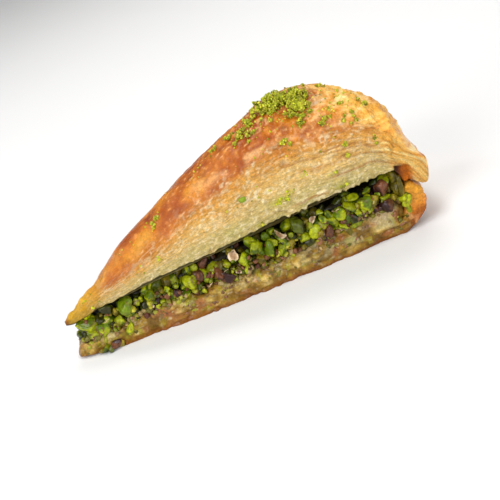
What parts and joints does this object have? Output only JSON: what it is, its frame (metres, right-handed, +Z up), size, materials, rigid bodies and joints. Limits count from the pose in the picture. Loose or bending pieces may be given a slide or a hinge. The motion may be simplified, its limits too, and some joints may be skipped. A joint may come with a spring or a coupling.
{
  "type": "baklava piece",
  "caption": "Carrot-slice baklava wedge with a tall puffed flaky crust, chopped pistachio filling, a soaked creamy layer and ground pistachio on its crest.",
  "frame": {"origin": "middle of the underside of the slice's bounding box", "axes": "+X from the cut point towards the tray's rim, +Y across the slice, +Z up"},
  "size_m": [0.1508, 0.0576, 0.0693],
  "materials": {
    "baked_crust": "glossy",
    "pistachio_chunks": "satin",
    "soaked_cream": "satin",
    "soaked_pastry": "satin",
    "ground_pistachio": "matte"
  },
  "bodies": {
    "root": {"lower_pastry": "soaked_pastry", "cream_layer": "soaked_cream", "pistachio_filling": "pistachio_chunks", "upper_pastry": "baked_crust", "pistachio_heap": "ground_pistachio"}
  },
  "joints": []
}
